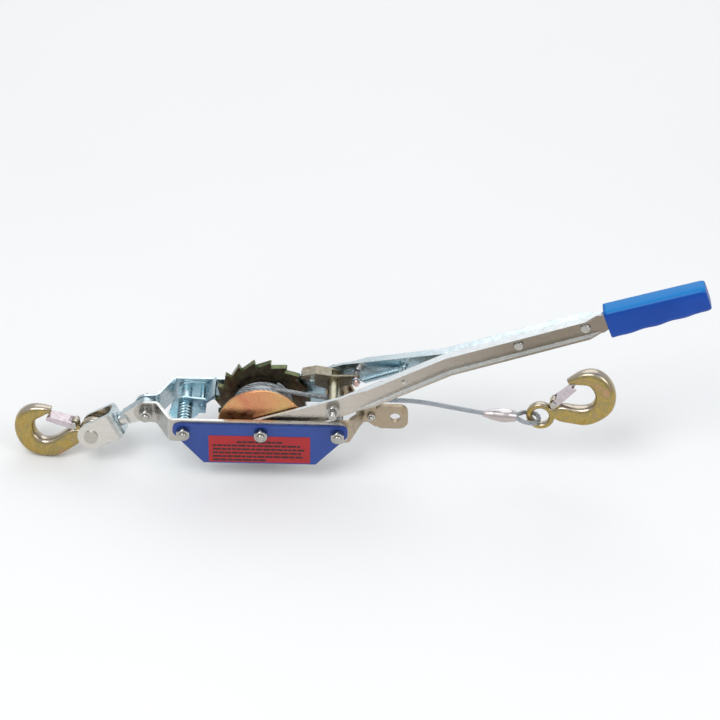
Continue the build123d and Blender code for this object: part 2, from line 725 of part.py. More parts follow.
# Every node
def build():
    hook_shape = hook()
    pin_shape = latch_pin()
    spring_shape = latch_spring()
    latch_shape = latch()
    frame_hook_at = frame_hook_plane().location
    rope_hook_at = rope_hook_plane().location
    rear_plate = side_plate_rear()
    rear_anchor = anchor_rear()
    rear_half = handle_half_rear()
    return {
        "front_side_plate": mirrored(rear_plate),
        "rear_side_plate": rear_plate,
        "front_cover": mirrored(cover()),
        "cover_label": label(),
        "drum_shaft": drum_shaft(),
        "left_cross_bolt": cross_bolt(LEFT_BOLT_X),
        "right_cross_bolt": cross_bolt(RIGHT_BOLT_X),
        "neck_bolt": neck_bolt(),
        "frame_nuts": frame_nuts(),
        "neck_washers": neck_washers(),
        "left_spacer": tube(LEFT_BOLT_X, 0, TUBE_R, BOLT_R, -FRAME_IN, FRAME_IN),
        "right_spacer": tube(RIGHT_BOLT_X, 0, TUBE_R, BOLT_R, -FRAME_IN, FRAME_IN),
        "shaft_washers": shaft_washers(),
        "holding_pawl_spring": holding_spring(),
        "front_anchor_plate": mirrored(rear_anchor),
        "rear_anchor_plate": rear_anchor,
        "anchor_tie_bolt": tie_bolt(),
        "anchor_tie_nut": tie_nut(),
        "rope_span": rope_span(),
        "drum_hub": drum_hub(),
        "rope_clamp_screw": rope_clamp_screw(),
        "drum_flange": drum_flange(),
        "ratchet_wheel": ratchet_wheel(),
        "rope_coil": rope_coil(),
        "front_handle_half": mirrored(rear_half),
        "rear_handle_half": rear_half,
        "handle_rivets": handle_rivets(),
        "handle_bolt": handle_bolt(),
        "handle_nut": handle_nut(),
        "handle_spacer": handle_tube(),
        "handle_grip": grip(),
        "spring_anchor_pin": spring_pin(),
        "drive_pawl_spring": drive_spring(),
        "drive_pawl": drive_pawl(),
        "release_rod": release_rod(),
        "drive_pawl_peg": drive_peg(),
        "holding_pawl": holding_pawl(),
        "holding_pawl_pin": holding_pin(),
        "swivel_link": swivel_link(),
        "clevis": clevis(),
        "clevis_pin": clevis_pin(),
        "frame_hook": frame_hook_at * hook_shape,
        "frame_hook_latch_pin": frame_hook_at * pin_shape,
        "frame_hook_latch_spring": frame_hook_at * spring_shape,
        "frame_hook_latch": frame_hook_at * latch_shape,
        "ferrule": ferrule(),
        "rope_loop": rope_loop(),
        "rope_hook": rope_hook_at * hook_shape,
        "rope_hook_latch_pin": rope_hook_at * pin_shape,
        "rope_hook_latch_spring": rope_hook_at * spring_shape,
        "rope_hook_latch": rope_hook_at * latch_shape,
    }


os.makedirs("parts", exist_ok=True)
to_anchor_hole = Pos(-EAR_HOLE[0], 0, -EAR_HOLE[1])
for name, shape in build().items():
    solids = shape if isinstance(shape, list) else [shape]
    placed = [to_anchor_hole * solid for solid in solids]
    whole = Compound(children=placed) if len(placed) > 1 else placed[0]
    export_step(whole, f"parts/{name}.step")
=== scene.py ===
import json
import math
import random

import bpy
import numpy as np
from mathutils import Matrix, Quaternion, Vector


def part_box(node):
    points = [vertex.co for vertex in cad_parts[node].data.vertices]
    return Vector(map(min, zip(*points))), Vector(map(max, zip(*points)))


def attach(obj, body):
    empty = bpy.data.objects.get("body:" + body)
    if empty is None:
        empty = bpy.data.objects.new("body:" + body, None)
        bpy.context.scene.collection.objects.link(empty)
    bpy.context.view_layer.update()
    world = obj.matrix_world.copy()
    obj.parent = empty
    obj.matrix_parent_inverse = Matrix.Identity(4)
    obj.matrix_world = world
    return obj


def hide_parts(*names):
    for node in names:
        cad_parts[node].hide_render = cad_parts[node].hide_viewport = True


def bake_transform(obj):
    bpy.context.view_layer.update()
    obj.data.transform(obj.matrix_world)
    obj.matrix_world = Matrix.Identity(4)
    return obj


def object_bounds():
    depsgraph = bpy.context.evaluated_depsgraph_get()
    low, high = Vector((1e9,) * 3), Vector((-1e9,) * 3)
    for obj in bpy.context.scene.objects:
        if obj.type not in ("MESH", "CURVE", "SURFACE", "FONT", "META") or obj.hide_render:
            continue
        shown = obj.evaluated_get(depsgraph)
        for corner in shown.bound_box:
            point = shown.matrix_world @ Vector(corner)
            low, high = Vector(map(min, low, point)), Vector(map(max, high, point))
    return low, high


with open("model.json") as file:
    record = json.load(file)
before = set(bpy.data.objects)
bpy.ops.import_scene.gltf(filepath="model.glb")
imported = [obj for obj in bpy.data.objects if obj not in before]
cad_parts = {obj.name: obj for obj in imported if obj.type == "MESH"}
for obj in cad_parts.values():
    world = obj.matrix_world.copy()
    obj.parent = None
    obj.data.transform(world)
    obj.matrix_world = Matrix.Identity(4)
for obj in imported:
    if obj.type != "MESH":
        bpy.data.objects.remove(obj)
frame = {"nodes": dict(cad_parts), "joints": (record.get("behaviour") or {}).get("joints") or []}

# Looks of the wire rope puller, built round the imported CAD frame. Metres; -Y is the labelled front.
CAD_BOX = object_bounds()
NODES = frame["nodes"]
JOINTS = {joint["name"]: joint for joint in frame["joints"]}
MM = 0.001
DEPTH = Vector((0, 1, 0))
RNG = random.Random(7)


# ---------------------------------------------------------------- reading the frame
def joint_place(name):
    return Vector(JOINTS[name]["pos_m"])


def joint_axis(name):
    return Vector(JOINTS[name]["axis"]).normalized()


DRUM = joint_place("drum_spin")


def box_middle(node):
    low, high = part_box(node)
    return (Vector(low) + Vector(high)) / 2


def reach(node, direction):
    """How far a node reaches from the drum's shaft along a direction, as (least, most)."""
    shares = [(v.co - DRUM).dot(direction) for v in NODES[node].data.vertices]
    return min(shares), max(shares)


# ---------------------------------------------------------------- materials
class Nodes:
    """A material under construction; each call adds one shader node and returns its output."""

    def __init__(self, name):
        self.material = bpy.data.materials.new(name)
        self.material.use_nodes = True
        self.tree = self.material.node_tree
        self.surface = self.tree.nodes["Principled BSDF"]
        self.coord = self.tree.nodes.new("ShaderNodeTexCoord").outputs["Object"]

    def set(self, **values):
        for key, value in values.items():
            socket = self.surface.inputs[key.replace("_", " ")]
            if isinstance(value, bpy.types.NodeSocket):
                self.tree.links.new(value, socket)
            elif isinstance(value, tuple):
                socket.default_value = (*value, 1.0)
            else:
                socket.default_value = value

    def noise(self, scale, detail=3.0, stretch=(1, 1, 1), distortion=0.0):
        mapping = self.tree.nodes.new("ShaderNodeMapping")
        mapping.inputs["Scale"].default_value = stretch
        self.tree.links.new(self.coord, mapping.inputs["Vector"])
        node = self.tree.nodes.new("ShaderNodeTexNoise")
        node.inputs["Scale"].default_value = scale
        node.inputs["Detail"].default_value = detail
        node.inputs["Distortion"].default_value = distortion
        self.tree.links.new(mapping.outputs["Vector"], node.inputs["Vector"])
        return node.outputs["Fac"]

    def ramp(self, factor, *stops):
        node = self.tree.nodes.new("ShaderNodeValToRGB")
        band = node.color_ramp
        while len(band.elements) < len(stops):
            band.elements.new(0.5)
        for element, (place, colour) in zip(band.elements, stops):
            element.position = place
            element.color = (*colour, 1.0)
        self.tree.links.new(factor, node.inputs["Fac"])
        return node.outputs["Color"]

    def span(self, factor, low, high, from_low=0.0, from_high=1.0):
        node = self.tree.nodes.new("ShaderNodeMapRange")
        node.inputs["From Min"].default_value = from_low
        node.inputs["From Max"].default_value = from_high
        node.inputs["To Min"].default_value = low
        node.inputs["To Max"].default_value = high
        self.tree.links.new(factor, node.inputs["Value"])
        return node.outputs["Result"]

    def mix(self, factor, first, second, blend="MIX"):
        node = self.tree.nodes.new("ShaderNodeMix")
        node.data_type = "RGBA"
        node.blend_type = blend
        # Of a colour mix's sockets, 0 is the factor, 6 and 7 the two colours, and output 2 the result.
        for place, value in ((0, factor), (6, first), (7, second)):
            socket = node.inputs[place]
            if isinstance(value, bpy.types.NodeSocket):
                self.tree.links.new(value, socket)
            elif isinstance(value, tuple):
                socket.default_value = (*value, 1.0)
            else:
                socket.default_value = value
        return node.outputs[2]

    def mottle(self, scale, detail, first, second):
        """Two colours in soft clouds."""
        return self.mix(self.span(self.noise(scale, detail), 0, 1, 0.3, 0.7), first, second)

    def split(self, source, part):
        node = self.tree.nodes.new("ShaderNodeSeparateXYZ")
        self.tree.links.new(source, node.inputs[0])
        return node.outputs[part]

    def normal(self, part):
        return self.split(self.tree.nodes.new("ShaderNodeNewGeometry").outputs["Normal"], part)

    def side_facing(self):
        """1 on faces that look along Y, 0 on faces that look up, down or along the puller."""
        size = self.tree.nodes.new("ShaderNodeMath")
        size.operation = "ABSOLUTE"
        self.tree.links.new(self.normal("Y"), size.inputs[0])
        return self.span(size.outputs[0], 0, 1, 0.55, 0.95)

    def top_facing(self, low=0.35, high=0.85):
        """1 on faces that look up."""
        return self.span(self.normal("Z"), 0, 1, low, high)

    def relief(self, height, depth, edge=0.0):
        """Bump from a height, over softly rounded CAD edges."""
        bump = self.tree.nodes.new("ShaderNodeBump")
        bump.inputs["Distance"].default_value = depth
        bump.inputs["Strength"].default_value = 1.0
        self.tree.links.new(height, bump.inputs["Height"])
        if edge:
            bevel = self.tree.nodes.new("ShaderNodeBevel")
            bevel.samples = 4
            bevel.inputs["Radius"].default_value = edge
            self.tree.links.new(bevel.outputs["Normal"], bump.inputs["Normal"])
        self.tree.links.new(bump.outputs["Normal"], self.surface.inputs["Normal"])


def plated(name, bright, shade, side, roughness=0.26, edge=0.45 * MM, near_side=None, top_metal=1.0):
    """Zinc-plated steel: cloudy tone, a darker tone on side faces as a painted reflection of the room,
    fine grain and scuffs.

    near_side is the side tone close to the drum, for pieces whose painted side shade darkens along
    their length.
    top_metal under 1 keeps upward faces pale where they would only mirror a darker neighbour, a painted
    highlight.
    """
    n = Nodes(name)
    clouds = n.noise(38, 4.0, distortion=0.4)
    base = n.mix(n.span(clouds, 0, 1, 0.35, 0.7), bright, shade)
    scuffs = n.noise(260, 5.0, stretch=(0.25, 1, 1.6))
    grime = n.noise(120, 6.0, distortion=1.2)
    # Painted shade: the side tone runs from near_side by the drum to the darker side tone further out
    # along X.
    if near_side:
        side = n.mix(n.span(n.split(n.coord, "X"), 0, 1, -0.05, 0.12), near_side, side)
    # Painted reflection: faces that look along Y take the side tone.
    base = n.mix(n.side_facing(), base, side)
    base = n.mix(n.span(grime, 0.0, 0.35, 0.55, 0.8), base, tuple(c * 0.55 for c in shade))
    rubbed = n.span(scuffs, roughness * 0.7, roughness * 1.5, 0.3, 0.7)
    # Painted highlight: upward faces lose metal down to top_metal and stay pale.
    metal = n.span(n.top_facing(), 1.0, top_metal)
    n.set(Base_Color=base, Metallic=metal, Roughness=rubbed)
    n.relief(n.noise(1400, 2.0), 0.012 * MM, edge)
    return n.material


def chromate(name, tones, roughness=0.24, cloud=60.0, edge=0.5 * MM, top=None):
    """Yellow chromate: the passivated film drifts between gold, green and pink."""
    n = Nodes(name)
    drift = n.noise(cloud, 3.0, distortion=1.6)
    stops = [(0.28 + 0.44 * i / (len(tones) - 1), tone) for i, tone in enumerate(tones)]
    base = n.ramp(drift, *stops)
    # Painted highlight: upward faces blend to the paler top colour.
    if top:
        base = n.mix(n.top_facing(), base, top)
    speckle = n.noise(900, 3.0)
    base = n.mix(n.span(speckle, 0.0, 0.35, 0.55, 0.75), base, tuple(c * 0.5 for c in tones[0]))
    rubbed = n.span(n.noise(240, 4.0), roughness * 0.7, roughness * 1.6, 0.3, 0.7)
    n.set(Base_Color=base, Metallic=1.0, Roughness=rubbed)
    n.relief(n.noise(420, 4.0), 0.05 * MM, edge)
    return n.material


def painted(name, colour, dark):
    """Gloss paint over sheet steel, with orange peel and small chips."""
    n = Nodes(name)
    base = n.mottle(22, 3.0, colour, dark)
    chips = n.noise(600, 5.0)
    base = n.mix(n.span(chips, 0.0, 0.35, 0.66, 0.76), base, tuple(c * 0.6 + 0.05 for c in colour))
    n.set(Base_Color=base, Metallic=0.0, Roughness=n.span(n.noise(300, 3.0), 0.28, 0.42))
    n.surface.inputs["Coat Weight"].default_value = 0.12
    n.surface.inputs["Coat Roughness"].default_value = 0.12
    n.relief(n.noise(700, 2.0), 0.02 * MM, 0.5 * MM)
    return n.material


def vinyl(name):
    """Dipped vinyl: deep blue, a little cloudy, with a satin skin, and a lighter cyan painted highlight
    on upward faces.
    """
    n = Nodes(name)
    base = n.mottle(30, 3.0, (0.001, 0.048, 0.30), (0.002, 0.060, 0.36))
    # Painted highlight: upward faces blend to a lighter cyan.
    base = n.mix(n.top_facing(0.45, 0.9), base, (0.006, 0.20, 0.56))
    n.set(Base_Color=base, Roughness=n.span(n.noise(420, 4.0), 0.30, 0.42))
    n.surface.inputs["Specular IOR Level"].default_value = 0.22
    n.surface.inputs["Coat Weight"].default_value = 0.08
    n.surface.inputs["Coat Roughness"].default_value = 0.3
    n.relief(n.noise(900, 3.0), 0.03 * MM)
    return n.material


def film(name):
    """Printed label film."""
    n = Nodes(name)
    base = n.mottle(45, 2.0, (0.42, 0.008, 0.012), (0.36, 0.007, 0.011))
    n.set(Base_Color=base, Roughness=n.span(n.noise(200, 3.0), 0.38, 0.5))
    n.relief(n.noise(500, 2.0), 0.015 * MM)
    return n.material


def ink(name):
    n = Nodes(name)
    base = n.mix(n.noise(300, 3.0), (0.018, 0.004, 0.005), (0.045, 0.006, 0.008))
    n.set(Base_Color=base, Roughness=0.5)
    return n.material


def wire(name, bright, dark):
    """Galvanised strands: every strand shows its own fine wires, with painted shade in the valleys
    between strands.
    """
    n = Nodes(name)
    uv = n.tree.nodes.new("ShaderNodeUVMap").outputs["UV"]
    wave = n.tree.nodes.new("ShaderNodeTexWave")
    wave.inputs["Scale"].default_value = 1.0
    wave.inputs["Distortion"].default_value = 0.6
    wave.bands_direction = "DIAGONAL"
    n.tree.links.new(uv, wave.inputs["Vector"])
    tone = n.mix(wave.outputs["Fac"], tuple(c * 0.7 for c in bright), bright)
    # Painted shade: the strands' valleys near the rope's core go dark, and only their crowns keep the
    # wire tone.
    valley_shade_mask = n.span(n.split(uv, "Y"), 0, 1, 0.66, 0.97)
    tone = n.mix(valley_shade_mask, dark, tone)
    grease = n.noise(160, 4.0)
    tone = n.mix(n.span(grease, 0.0, 0.5, 0.5, 0.75), tone, tuple(c * 0.45 for c in dark))
    n.set(Base_Color=tone, Metallic=1.0, Roughness=n.span(n.noise(500, 3.0), 0.26, 0.44))
    n.relief(wave.outputs["Fac"], 0.12 * MM)
    return n.material


def pale_floor(name):
    n = Nodes(name)
    base = n.mix(n.noise(3.0, 3.0), (0.90, 0.90, 0.90), (0.93, 0.93, 0.93))
    n.set(Base_Color=base, Roughness=0.85)
    n.surface.inputs["Specular IOR Level"].default_value = 0.1
    return n.material


LOOKS = {
    "zinc": plated("zinc", (0.86, 0.86, 0.85), (0.72, 0.74, 0.75), (0.60, 0.56, 0.50)),
    # The handle's side faces take a dark brown painted shade, lighter near the drum; its low top_metal
    # is a painted highlight on upward faces.
    "zinc_handle": plated(
        "zinc_handle", (0.74, 0.77, 0.78), (0.66, 0.70, 0.71), (0.27, 0.225, 0.175), edge=0.2 * MM,
        near_side=(0.56, 0.51, 0.45), top_metal=0.35,
    ),
    # A teal-tinted copy of the zinc for the far pieces: painted shade and reflection, not a different
    # plating.
    "zinc_far_teal_shade": plated("zinc_far_teal_shade", (0.70, 0.78, 0.81), (0.58, 0.69, 0.73), (0.40, 0.52, 0.57)),
    "zinc_frame": plated("zinc_frame", (0.72, 0.72, 0.70), (0.58, 0.58, 0.56), (0.50, 0.47, 0.42)),
    "blue_zinc": plated("blue_zinc", (0.70, 0.82, 0.86), (0.42, 0.62, 0.70), (0.40, 0.60, 0.68)),
    "clevis_zinc": plated("clevis_zinc", (0.70, 0.77, 0.79), (0.46, 0.56, 0.60), (0.66, 0.63, 0.58)),
    "fastener": plated(
        "fastener", (0.62, 0.62, 0.60), (0.30, 0.31, 0.31), (0.46, 0.44, 0.40), 0.13
    ),
    "tan": chromate("tan", ((0.40, 0.31, 0.21), (0.44, 0.36, 0.26), (0.45, 0.35, 0.25)), 0.32),
    # The hooks' paler top colour is a painted highlight on upward faces.
    "gold": chromate(
        "gold", ((0.34, 0.22, 0.055), (0.46, 0.33, 0.11), (0.35, 0.28, 0.11), (0.48, 0.29, 0.17)), 0.22,
        top=(0.52, 0.46, 0.38),
    ),
    "olive": chromate(
        "olive", ((0.19, 0.165, 0.115), (0.32, 0.29, 0.225), (0.25, 0.235, 0.185)), 0.30
    ),
    "olive_tube": chromate("olive_tube", ((0.36, 0.34, 0.24), (0.50, 0.48, 0.37)), 0.26),
    "copper": chromate("copper", ((0.70, 0.46, 0.42), (0.80, 0.60, 0.56), (0.66, 0.44, 0.38)), 0.24),
    "latch": chromate("latch", ((0.52, 0.42, 0.45), (0.62, 0.54, 0.58), (0.50, 0.46, 0.42)), 0.24),
    "disc": chromate(
        "disc", ((0.64, 0.25, 0.14), (0.72, 0.36, 0.17), (0.66, 0.42, 0.17)), 0.30, 26.0, 0.3 * MM
    ),
    "gear": chromate("gear", ((0.085, 0.065, 0.05), (0.13, 0.10, 0.07), (0.16, 0.17, 0.09)), 0.34),
    "teeth": chromate("teeth", ((0.12, 0.12, 0.055), (0.11, 0.15, 0.075), (0.22, 0.20, 0.11)), 0.28),
    "spring": plated("spring", (0.64, 0.82, 0.88), (0.42, 0.60, 0.68), (0.50, 0.68, 0.76), 0.20),
    "ferrule": plated("ferrule", (0.66, 0.64, 0.65), (0.54, 0.47, 0.48), (0.54, 0.47, 0.45), 0.30),
    "paint": painted("paint", (0.010, 0.045, 0.25), (0.014, 0.056, 0.29)),
    "label": film("label"),
    "ink": ink("ink"),
    "vinyl": vinyl("vinyl"),
    "rope": wire("rope", (0.60, 0.64, 0.68), (0.035, 0.04, 0.045)),
}

DRESS = {
    "zinc_frame": ("front_side_plate", "clevis_pin"),
    "zinc_far_teal_shade": ("rear_side_plate", "rear_handle_half"),
    "paint": ("front_cover",),
    "label": ("cover_label",),
    "fastener": (
        "drum_shaft", "left_cross_bolt", "right_cross_bolt", "neck_bolt", "frame_nuts",
        "neck_washers", "anchor_tie_bolt", "anchor_tie_nut", "handle_rivets", "handle_bolt",
        "handle_nut", "frame_hook_latch_pin", "rope_hook_latch_pin",
    ),
    "blue_zinc": ("left_spacer", "drive_pawl_peg", "holding_pawl", "holding_pawl_pin"),
    "zinc": ("right_spacer", "shaft_washers", "rope_clamp_screw", "spring_anchor_pin"),
    "spring": (
        "holding_pawl_spring", "drive_pawl_spring", "frame_hook_latch_spring",
        "rope_hook_latch_spring",
    ),
    "tan": ("front_anchor_plate", "rear_anchor_plate"),
    "rope": ("rope_span", "rope_coil", "rope_loop"),
    "gear": ("drum_hub", "ratchet_wheel"),
    "disc": ("drum_flange",),
    "zinc_handle": ("front_handle_half",),
    "olive_tube": ("handle_spacer",),
    "vinyl": ("handle_grip",),
    "olive": ("drive_pawl",),
    "copper": ("release_rod",),
    "clevis_zinc": ("swivel_link", "clevis"),
    "gold": ("frame_hook", "rope_hook"),
    "latch": ("frame_hook_latch", "rope_hook_latch"),
    "ferrule": ("ferrule",),
}


def dress_frame():
    for look, nodes in DRESS.items():
        for node in nodes:
            materials = NODES[node].data.materials
            materials.clear()
            materials.append(LOOKS[look])


def light_teeth():
    """The ratchet's rim keeps a brighter film than its faces."""
    wheel = NODES["ratchet_wheel"]
    wheel.data.materials.append(LOOKS["teeth"])
    middle = box_middle("ratchet_wheel")
    low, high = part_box("ratchet_wheel")
    root_share = 0.86
    root = (high[2] - low[2]) / 2 * root_share
    for face in wheel.data.polygons:
        away = face.center - middle
        on_rim = math.hypot(away.x, away.z) > root and abs(face.normal.y) < 0.5
        face.material_index = 1 if on_rim else 0


# ---------------------------------------------------------------- mesh helpers
def add_piece(name, vertices, faces, look, smooth=True, uvs=None):
    mesh = bpy.data.meshes.new(name)
    mesh.from_pydata(vertices, [], faces)
    mesh.update()
    if smooth:
        mesh.polygons.foreach_set("use_smooth", [True] * len(mesh.polygons))
    if uvs is not None:
        layer = mesh.uv_layers.new(name="UVMap")
        corner = [0] * len(mesh.loops)
        mesh.loops.foreach_get("vertex_index", corner)
        layer.data.foreach_set("uv", np.asarray(uvs)[corner].ravel())
    piece = bpy.data.objects.new(name, mesh)
    bpy.context.scene.collection.objects.link(piece)
    mesh.materials.append(LOOKS[look])
    return piece


def resample(points, step):
    """Points at even steps along a path, and how far along it each lies."""
    points = np.asarray(points, float)
    along = np.concatenate([[0], np.cumsum(np.linalg.norm(np.diff(points, axis=0), axis=1))])
    count = max(int(along[-1] / step), 3)
    targets = np.linspace(0, along[-1], count + 1)
    return np.stack([np.interp(targets, along, points[:, k]) for k in range(3)], axis=1), targets


def frames(path):
    """Tangent and two normals at each point of a path, carried along without twist."""
    tangents = np.gradient(path, axis=0)
    tangents /= np.linalg.norm(tangents, axis=1)[:, None]
    first = np.cross(tangents[0], (0, 1, 0))
    if np.linalg.norm(first) < 0.1:
        first = np.cross(tangents[0], (0, 0, 1))
    normals = [first / np.linalg.norm(first)]
    for tangent in tangents[1:]:
        normal = normals[-1] - tangent * normals[-1].dot(tangent)
        normals.append(normal / np.linalg.norm(normal))
    normals = np.array(normals)
    return tangents, normals, np.cross(tangents, normals)


def ring_quads(rings, sides):
    """Quads that join each ring of vertices to the next."""
    faces = []
    for ring in range(rings - 1):
        for side in range(sides):
            a = ring * sides + side
            b = ring * sides + (side + 1) % sides
            faces.append((a, b, b + sides, a + sides))
    return faces


def tube_rings(path, radius, sides):
    """Vertices and faces of a capped tube along a path."""
    _, one, two = frames(path)
    angle = np.linspace(0, 2 * np.pi, sides, endpoint=False)[None, :, None]
    offsets = np.cos(angle) * one[:, None] + np.sin(angle) * two[:, None]
    vertices = (path[:, None] + offsets * radius).reshape(-1, 3)
    faces = ring_quads(len(path), sides)
    faces.append(tuple(reversed(range(sides))))
    faces.append(tuple(range((len(path) - 1) * sides, len(path) * sides)))
    return vertices, faces


def soften(points, times):
    """Round off a path in place, its two ends kept."""
    for _ in range(times):
        points[1:-1] = (points[:-2] + 2 * points[1:-1] + points[2:]) / 4


ROPE_R = 2.4 * MM
STRANDS = 6
STRAND_SIDES = 8
LAY = 30 * MM
WIRE_PITCH = 1.6 * MM


def laid_rope(name, points, step=1.3 * MM):
    """Six round strands laid round a core, as one piece; V is the distance from its middle."""
    path, along = resample(points, step)
    _, one, two = frames(path)
    strand_r = ROPE_R * 0.34
    ring_r = ROPE_R - strand_r
    vertices, faces, uvs = [], [], []
    for strand in range(STRANDS):
        angle = 2 * np.pi * (strand / STRANDS + along / LAY)
        centre = path + ring_r * (np.cos(angle)[:, None] * one + np.sin(angle)[:, None] * two)
        v, f = tube_rings(centre, strand_r, STRAND_SIDES)
        faces += [tuple(i + len(vertices) for i in face) for face in f]
        vertices += v.tolist()
        rings = v.reshape(len(path), STRAND_SIDES, 3)
        away = np.linalg.norm(rings - path[:, None], axis=2) / ROPE_R
        for place, row in zip(along, away):
            uvs += [(place / WIRE_PITCH, float(share)) for share in row]
    v, f = tube_rings(path, ring_r * 0.95, STRAND_SIDES)
    faces += [tuple(i + len(vertices) for i in face) for face in f]
    vertices += v.tolist()
    uvs += [(0.0, 0.0)] * len(v)
    return add_piece(name, vertices, faces, "rope", uvs=uvs)


# ---------------------------------------------------------------- rope
LOW_COIL, HIGH_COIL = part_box("rope_coil")
COIL_R = (HIGH_COIL[2] - LOW_COIL[2]) / 2
LAYER_R = COIL_R - ROPE_R
WRAPS = 7
WRAP_PITCH = (HIGH_COIL[1] - LOW_COIL[1] - 2 * ROPE_R) / (WRAPS - 1)


def wound_rope():
    """The top layer in level wraps with a short crossover each, and a layer below it wound back."""
    first = LOW_COIL[1] + ROPE_R
    last = HIGH_COIL[1] - ROPE_R
    cross_from, cross_share = 0.82, 0.16
    per_turn = 72
    points = []
    for i in range((WRAPS - 1) * per_turn + 13):
        turn = i / per_turn
        angle = 2 * math.pi * turn
        whole = math.floor(turn)
        cross = max(0.0, min(1.0, (turn - whole - cross_from) / cross_share))
        y = min(first + WRAP_PITCH * (whole + cross * cross * (3 - 2 * cross)), last)
        points.append((DRUM.x + LAYER_R * math.cos(angle), y, DRUM.z + LAYER_R * math.sin(angle)))
    rope = laid_rope("wound_rope", points)
    layer_drop = 4.0 * MM
    low_r = LAYER_R - layer_drop
    per_turn = 48
    steps = (WRAPS - 1) * per_turn
    inner = []
    for i in range(steps + 1):
        angle = 2 * math.pi * i / per_turn
        y = min(first + WRAP_PITCH / 2 + (WRAP_PITCH * (WRAPS - 1.2)) * i / steps, last)
        inner.append((DRUM.x + low_r * math.cos(-angle), y, DRUM.z + low_r * math.sin(-angle)))
    under = laid_rope("wound_rope_under", inner, 2.2 * MM)
    for piece in (rope, under):
        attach(piece, "drum")
    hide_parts("rope_coil")


def leaving_rope():
    """Off the drum's top, under the handle's spacer tube, then sagging to the ferrule."""
    slope = joint_axis("rope_payout")
    end = joint_place("rope_payout") + slope * 3 * MM
    bend = Vector((71 * MM, 0, 16.6 * MM))
    knee = DRUM + Vector((152 * MM, 0, 17.0 * MM))
    swing = math.atan2(bend.z, bend.x) + math.acos(LAYER_R / math.hypot(bend.x, bend.z))
    bend += DRUM
    hugging = math.radians(24)
    points = []
    for i in range(13):
        angle = swing + hugging * (1 - i / 12)
        points.append(DRUM + Vector((LAYER_R * math.cos(angle), 2 * MM, LAYER_R * math.sin(angle))))
    for start, stop, count in ((points[-1], bend, 24), (bend, knee, 32), (knee, end, 28)):
        points += [start.lerp(stop, i / count) for i in range(1, count + 1)]
    smooth = np.array(points)
    soften(smooth, 40)
    rope = laid_rope("rope_run", smooth)
    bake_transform(rope)
    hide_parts("rope_span")


def loop_rope():
    """The eye of rope that holds the hook, shaped as the CAD loop."""
    plane_x = joint_axis("rope_payout")
    start = joint_place("rope_payout")
    low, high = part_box("rope_loop")
    long = (low[0] - start.x) / plane_x.x
    far = (high[0] - start.x) / plane_x.x - ROPE_R
    half = (high[1] - low[1]) / 2 - ROPE_R
    middle_y = (high[1] + low[1]) / 2
    neck = 2.55 * MM
    nose = half * 0.86
    side = [(long - 4 * MM, neck), (long + 1 * MM, neck), (long + 8.5 * MM, half * 0.92)]
    ring = []
    for i in range(17):
        angle = math.pi / 2 - math.pi * i / 16
        ring.append((far - nose + nose * math.cos(angle), half * math.sin(angle)))
    flat = [(x, y + middle_y * (x - long) / (far - long)) for x, y in side + ring]
    back = [(x, -y + middle_y * (x - long) / (far - long)) for x, y in reversed(side)]
    points = np.array([start + plane_x * x + DEPTH * y for x, y in flat + back])
    dense, _ = resample(points, 1.0 * MM)
    soften(dense, 6)
    rope = laid_rope("rope_eye", dense, 1.0 * MM)
    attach(rope, "rope_end")
    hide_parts("rope_loop")


# ---------------------------------------------------------------- drive pawl spring
def drive_spring():
    """A close coil between the release rod and the handle's pin, with a hooked end on each."""
    body_low, body_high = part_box("drive_pawl_spring")
    y = (body_low[1] + body_high[1]) / 2
    pin = box_middle("spring_anchor_pin")
    pin.y = y
    rod = box_middle("release_rod")
    rod.y = y
    along = (pin - rod).normalized()
    across = DEPTH.cross(along).normalized()
    coil_r, wire_r, pitch = 3.5 * MM, 0.7 * MM, 1.62 * MM
    rod_low, rod_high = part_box("release_rod")
    rod_r = (rod_high[0] - rod_low[0]) / 2 + wire_r
    pin_r = 2 * MM + wire_r
    start = rod + along * (rod_r + 3.5 * MM)
    end = pin - along * (pin_r + 3.0 * MM)
    points = []
    for i in range(21):
        angle = math.radians(30 + 300 * i / 20)
        points.append(rod + along * (rod_r * math.cos(angle)) + across * (rod_r * math.sin(angle)))
    per_turn = 20
    steps = round((end - start).length / pitch) * per_turn
    for i in range(steps + 1):
        angle = 2 * math.pi * i / per_turn
        centre = start.lerp(end, i / steps)
        ring = across * (coil_r * math.cos(angle)) + DEPTH * (coil_r * math.sin(angle))
        points.append(centre + ring)
    for i in range(21):
        angle = math.radians(150 - 300 * i / 20)
        points.append(pin + along * (pin_r * math.cos(angle)) + across * (pin_r * math.sin(angle)))
    dense, _ = resample(np.array(points), 0.7 * MM)
    soften(dense, 2)
    v, f = tube_rings(dense, wire_r, 8)
    spring = add_piece("pawl_return_spring", v.tolist(), f, "spring")
    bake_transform(spring)
    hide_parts("drive_pawl_spring")


